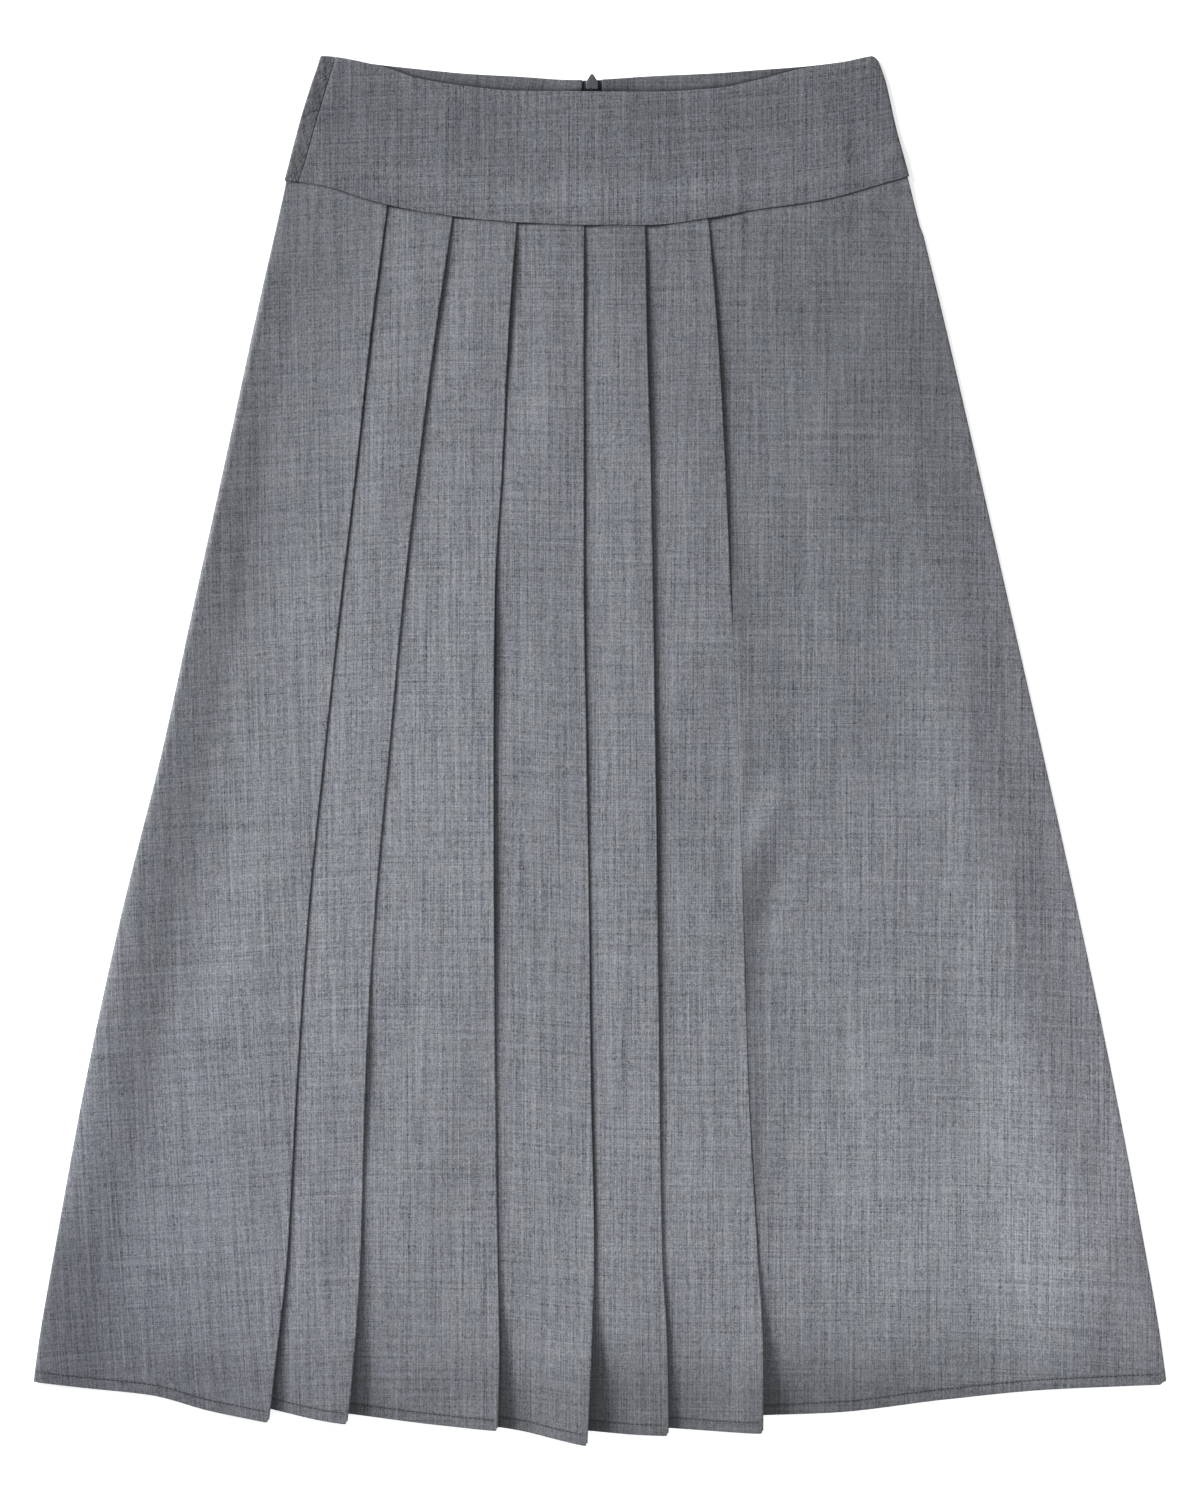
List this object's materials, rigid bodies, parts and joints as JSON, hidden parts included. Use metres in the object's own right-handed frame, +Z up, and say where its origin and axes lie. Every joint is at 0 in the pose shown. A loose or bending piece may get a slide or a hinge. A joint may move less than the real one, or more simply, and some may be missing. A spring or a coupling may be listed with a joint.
{
  "type": "maxi skirt",
  "caption": "Long A-line skirt in grey suiting, laid flat: shaped waist yoke, knife pleats down the front, hidden zip at the centre back.",
  "frame": {"origin": "centre of the skirt as it lies, on the surface under its back", "axes": "+Z up out of the front, +Y from the hem to the waist, +X to the right as the front is seen"},
  "size_m": [0.7465, 0.9157, 0.0092],
  "materials": {
    "suiting": "matt grey melange wool-blend plain weave",
    "facing": "the same suiting, seen inside the waist",
    "zip_tape": "charcoal woven polyester tape",
    "zip_coil": "dark nylon coil",
    "zip_metal": "grey enamelled zinc"
  },
  "bodies": {
    "skirt": {"front_panel": "suiting", "front_yoke": "suiting", "back_yoke_left": "suiting", "back_yoke_right": "suiting", "back_panel_left": "suiting", "back_panel_right": "suiting", "back_facing_left": "facing", "back_facing_right": "facing", "zip_tape_left": "zip_tape", "zip_tape_right": "zip_tape", "zip_coil": "zip_coil", "zip_stop": "zip_metal", "zip_slider": "zip_metal"},
    "zip_pull": {"zip_pull": "zip_metal"}
  },
  "joints": [
    {"name": "pull_swing", "type": "hinge", "parent": "skirt", "child": "zip_pull", "pos_m": [-0.0053, 0.4405, 0.0011], "axis": [1, 0, 0], "range_deg": [0, 165]}
  ]
}
